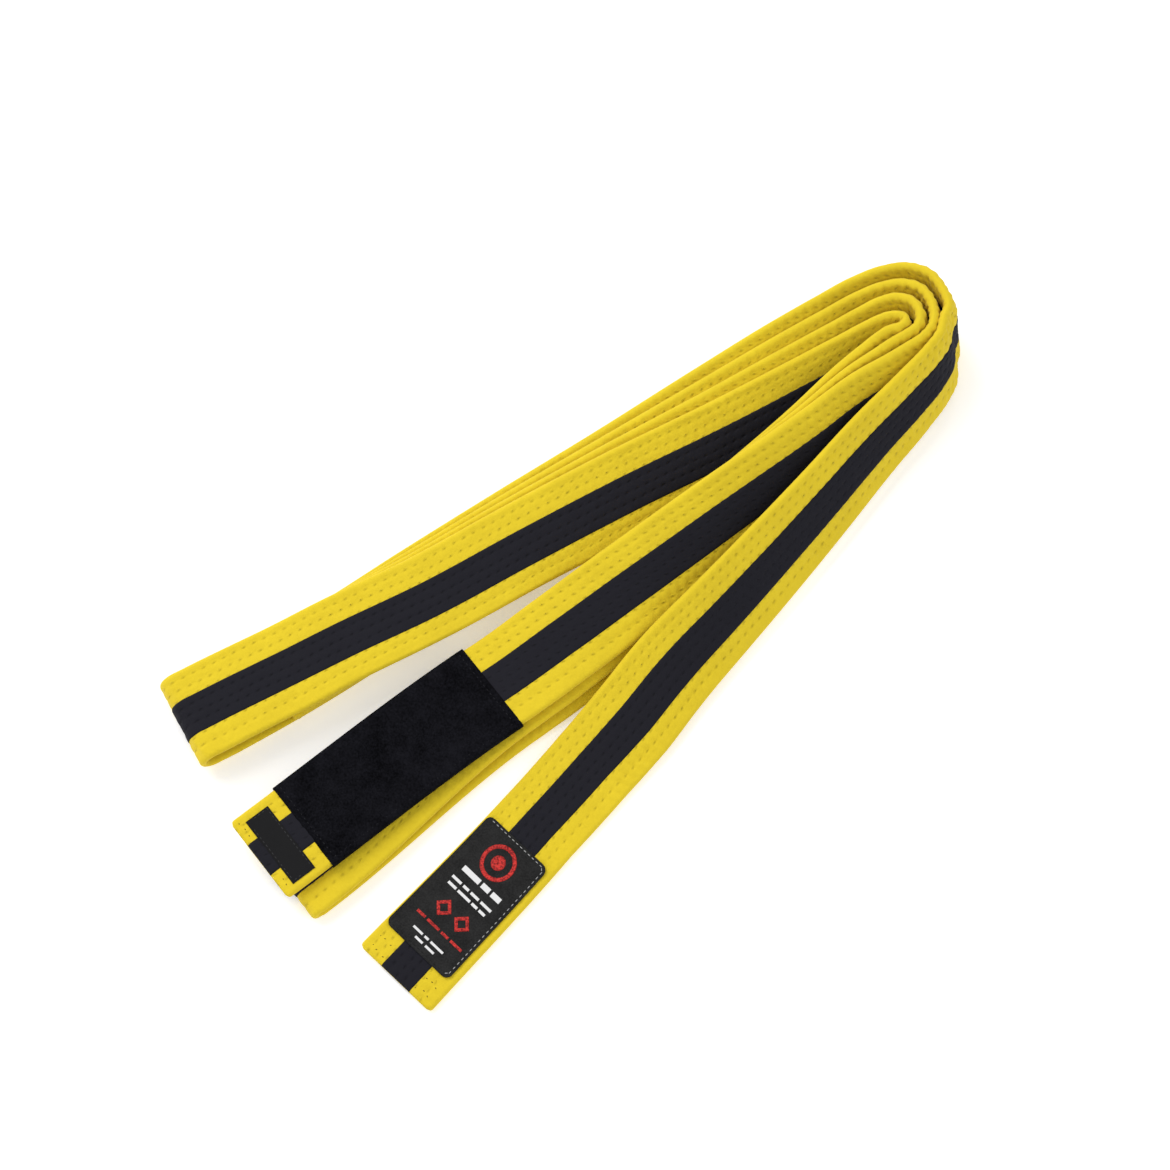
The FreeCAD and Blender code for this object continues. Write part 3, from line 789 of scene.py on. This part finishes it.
def patch_stitches():
    """Seam around the patch, grey along two sides and dark along the others, the dark being painted
    shade of the stitch holes.
    """
    near = PATCH[0] + PATCH_SEAM
    far = PATCH[1] - PATCH_SEAM
    left = PATCH[2] + PATCH_SEAM
    right = PATCH[3] - PATCH_SEAM
    light = line_spots(far, 4.5, far, 32.2) + line_spots(70.2, right, 16.5, right)
    light.append((far - 0.8, right - 0.9, -1.0, 0.7, -0.7, PATCH_TOP))
    light.append((near + 0.6, right - 0.9, -1.0, 0.7, 0.7, PATCH_TOP))
    dark = line_spots(near, 4.5, near, 32.2) + line_spots(70.2, left, 16.5, left)
    dashes("patch_stitches", light, grey_thread, "thread_grey", length=1.6, wide=0.42, high=0.07,
           nodes=["patch_stitching"])
    # painted shade of the stitch holes on the near and left sides
    dashes("patch_stitches_painted_shade", dark, painted_shade_thread, "thread_grey", length=1.5, wide=0.42, high=0.03)


plate("patch_cloth_piece", PATCH, PATCH_BASE, PATCH_THICK, -1.0, patch_cloth, "patch_cloth",
      "patch", radius=3.0, wave=0.03)
patch_stitches()


# ---------------------------------------------------------------- embroidery
def circle(u, v, radius, count):
    """Evenly spaced points around a circle; four of them make a diamond."""
    turn = np.linspace(0, 2 * math.pi, count + 1)[:-1]
    return np.column_stack([u + radius * np.cos(turn), v + radius * np.sin(turn)])


def raised(name, node, outer, inner):
    """Red embroidery between an outer and an inner outline of equal count."""
    rings = []
    for share, rise in ((0.0, -0.1), (0.03, 0.12), (0.2, 0.22), (0.8, 0.22), (0.97, 0.12), (1.0, -0.1)):
        flat = outer * (1 - share) + inner * share
        rings.append(place(flat[:, 0], flat[:, 1], -(PATCH_TOP + rise) * np.ones(len(flat))))
    points = np.stack(rings)
    piece = mesh_object(name, points, grid_quads(*points.shape[:2], closed=True), red_thread)
    own(piece, "motif_red", node)


EMBLEM = (61.4, 18.0)
MOTIF_ALONG = 33.6
raised("emblem_ring", "patch_emblem_ring", circle(*EMBLEM, 7.8, 64), circle(*EMBLEM, 6.0, 64))
raised("emblem_disc", "patch_emblem_disc", circle(*EMBLEM, 3.2, 48), circle(*EMBLEM, 0.05, 48))
for side, v in (("left", 14.3), ("right", 24.4)):
    raised("motif_" + side, "patch_motif_" + side,
           circle(MOTIF_ALONG, v, 4.2, 4), circle(MOTIF_ALONG, v, 2.2, 4))

# plain lines in place of print: along, width, left, right, thread, lengths of the bars
LINES = [
    (50.6, 2.4, 8.4, 29.8, "white", [9.6, 4.4, 5.0]),
    (45.2, 1.2, 7.5, 29.8, "white", [5.2, 3.2, 4.6, 6.0]),
    (42.3, 1.2, 8.0, 29.0, "white", [4.6, 7.0, 3.2, 3.4]),
    (25.7, 1.2, 7.0, 32.0, "red", [4.6, 6.8, 4.0, 6.4]),
    (20.0, 1.0, 10.5, 27.1, "white", [5.2, 2.2, 7.0]),
    (17.4, 1.0, 14.0, 24.4, "white", [4.2, 4.8]),
]
LINE_LOOKS = {"white": (white_print, "woven_white"), "red": (red_thread, "motif_red")}


def line_mark(number, along, wide, left, right, colour, bars):
    """One line of plain low bars with even gaps between them."""
    gap = (right - left - sum(bars)) / (len(bars) - 1)
    near = along - wide / 2
    far = along + wide / 2
    at = left
    rings = []
    for bar in bars:
        flat = np.array([(near, at), (near, at + bar), (far, at + bar), (far, at)])
        centre = flat.mean(axis=0)
        for share, rise in ((1.0, -0.1), (0.98, 0.08), (0.8, 0.12), (0.01, 0.12)):
            ring = centre + (flat - centre) * share
            rings.append(place(ring[:, 0], ring[:, 1], -(PATCH_TOP + rise) * np.ones(4)))
        at += bar + gap
    quads = repeated(grid_quads(4, 4, closed=True), len(bars), 16)
    material, material_slot = LINE_LOOKS[colour]
    piece = mesh_object("patch_line_mark_%d" % number, rings, quads, material, smooth=False)
    own(piece, material_slot, "patch_line_%d" % number)


for number, line in enumerate(LINES, start=1):
    line_mark(number, *line)

# ---------------------------------------------------------------- tip stitches
rng = np.random.default_rng(7)   # the same uneven places each run
TIP_COLUMNS = np.arange(3.4, 36.5, 3.1)


def tip_spot(u, v, side, in_u, in_v):
    """A list with one stitch on the yellow cloth, or empty where the stripe runs."""
    if TAPE[0] - 0.6 < v < TAPE[1] + 0.6:
        return []
    base = float(face_height(np.array(u), np.array(v), side))
    return [(u, v, side, in_u, in_v, base)]


def tip_dashes(tip, spots):
    """The stitches of one tip as one piece."""
    # painted shade: the tip stitches take the dark colour of their stitch holes
    dashes("end_stitches_" + tip, spots, hole_shade_yellow, "thread_end", length=0.9, wide=0.45, high=0.03,
           nodes=["end_stitching_" + tip])


def patch_tip_stitches():
    """Two uneven rows across the belt beyond the patch."""
    spots = []
    for row in (3.6, 8.8):
        for column in TIP_COLUMNS:
            u = row + rng.uniform(-0.8, 0.8)
            v = column + rng.uniform(-0.8, 0.8)
            turn = rng.uniform(-0.6, 0.6)
            spots += tip_spot(u, v, -1.0, math.sin(turn), math.cos(turn))
    tip_dashes("patch_tip", spots)


def bar_tip_stitches():
    """One uneven row across the belt beyond the label."""
    spots = []
    for column in TIP_COLUMNS:
        u = LENGTH - 2.6 - rng.uniform(-0.6, 0.6)
        v = column + rng.uniform(-0.8, 0.8)
        spots += tip_spot(u, v, 1.0, 0.3, 0.95)
    tip_dashes("bar_tip", spots)


patch_tip_stitches()
bar_tip_stitches()


# ---------------------------------------------------------------- floor and light
def pale_floor():
    """Plain near-white floor that glows a little, so that shadows stay pale."""
    nodes = Nodes("floor")
    nodes.shader.inputs["Base Color"].default_value = (0.93, 0.93, 0.935, 1.0)
    nodes.shader.inputs["Roughness"].default_value = 1.0
    nodes.shader.inputs["Emission Color"].default_value = (1.0, 1.0, 1.0, 1.0)
    nodes.shader.inputs["Emission Strength"].default_value = 0.3
    nodes.shader.inputs["Specular IOR Level"].default_value = 0.0
    corners = [(-4, -4, 0), (4, -4, 0), (4, 4, 0), (-4, 4, 0)]
    piece = mesh_object("floor", corners, [(0, 1, 2, 3)], nodes.material, smooth=False)
    return piece


def white_world(strength):
    """Even white light from all around."""
    world = bpy.data.worlds.new("studio")
    world.use_nodes = True
    background = world.node_tree.nodes["Background"]
    background.inputs["Color"].default_value = (1.0, 1.0, 1.0, 1.0)
    background.inputs["Strength"].default_value = strength
    bpy.context.scene.world = world


def area_light(name, location, size, power):
    """Round soft light that looks at the origin; place and size in metres."""
    data = bpy.data.lights.new(name, "AREA")
    data.shape = "DISK"
    data.size = size
    data.energy = power
    lamp = bpy.data.objects.new(name, data)
    bpy.context.scene.collection.objects.link(lamp)
    lamp.location = location
    x, y, z = location
    lamp.rotation_euler = (math.atan2(math.hypot(x, y), z), 0.0, math.atan2(x, -y))


floor = pale_floor()
white_world(0.70)
area_light("key", (-0.9, 0.9, 1.3), 1.4, 18.0)
area_light("fill", (0.9, -0.5, 1.5), 1.4, 4.0)

# ---------------------------------------------------------------- camera
CAMERA_ELEVATION = math.radians(71.5)
CAMERA_DISTANCE = 1.6
FRAME_WIDTH = 0.4774        # what the camera sees across at the belt's distance

camera_data = bpy.data.cameras.new("camera")
camera_data.sensor_width = 36.0
camera_data.lens = camera_data.sensor_width * CAMERA_DISTANCE / FRAME_WIDTH
camera = bpy.data.objects.new("camera", camera_data)
bpy.context.scene.collection.objects.link(camera)
back = np.array([0.0, -math.cos(CAMERA_ELEVATION), math.sin(CAMERA_ELEVATION)])
camera.location = np.array(SHIFT) / 1000.0 + CAMERA_DISTANCE * back
camera.rotation_euler = (math.pi / 2 - CAMERA_ELEVATION, 0.0, 0.0)
bpy.context.scene.camera = camera
bpy.context.scene.view_settings.view_transform = "Standard"
